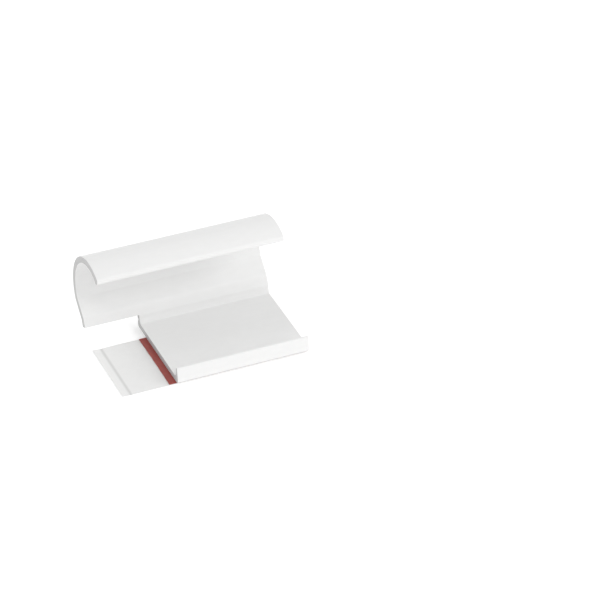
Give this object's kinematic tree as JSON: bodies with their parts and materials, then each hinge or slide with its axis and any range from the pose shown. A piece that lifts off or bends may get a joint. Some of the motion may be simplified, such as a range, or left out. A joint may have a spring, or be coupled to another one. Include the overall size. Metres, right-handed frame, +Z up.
{
  "type": "adhesive cable clip",
  "caption": "Extruded self-adhesive cable clip with a flat base, a front latch lip and a curled lid on a living hinge, shown open.",
  "frame": {"origin": "under the middle of the base plate, on the underside of the release liner", "axes": "+X along the extruded length away from the pull tab, +Y from the latch lip to the hinge, +Z up from the surface the clip sticks to"},
  "size_m": [0.048, 0.0325, 0.0253],
  "materials": {
    "base_plastic": "satin",
    "lid_plastic": "satin",
    "tape": "semi-gloss red tape",
    "liner": "coated paper"
  },
  "bodies": {
    "base": {"clip_base": "base_plastic", "adhesive_tape": "tape", "release_liner": "liner"},
    "lid": {"clip_lid": "lid_plastic"}
  },
  "joints": [
    {"name": "lid_hinge", "type": "hinge", "parent": "base", "child": "lid", "pos_m": [0, 0.01199, 0.00235], "axis": [1, 0, 0], "range_deg": [0, 67], "stiffness_Nm_per_rad": 0.004}
  ]
}
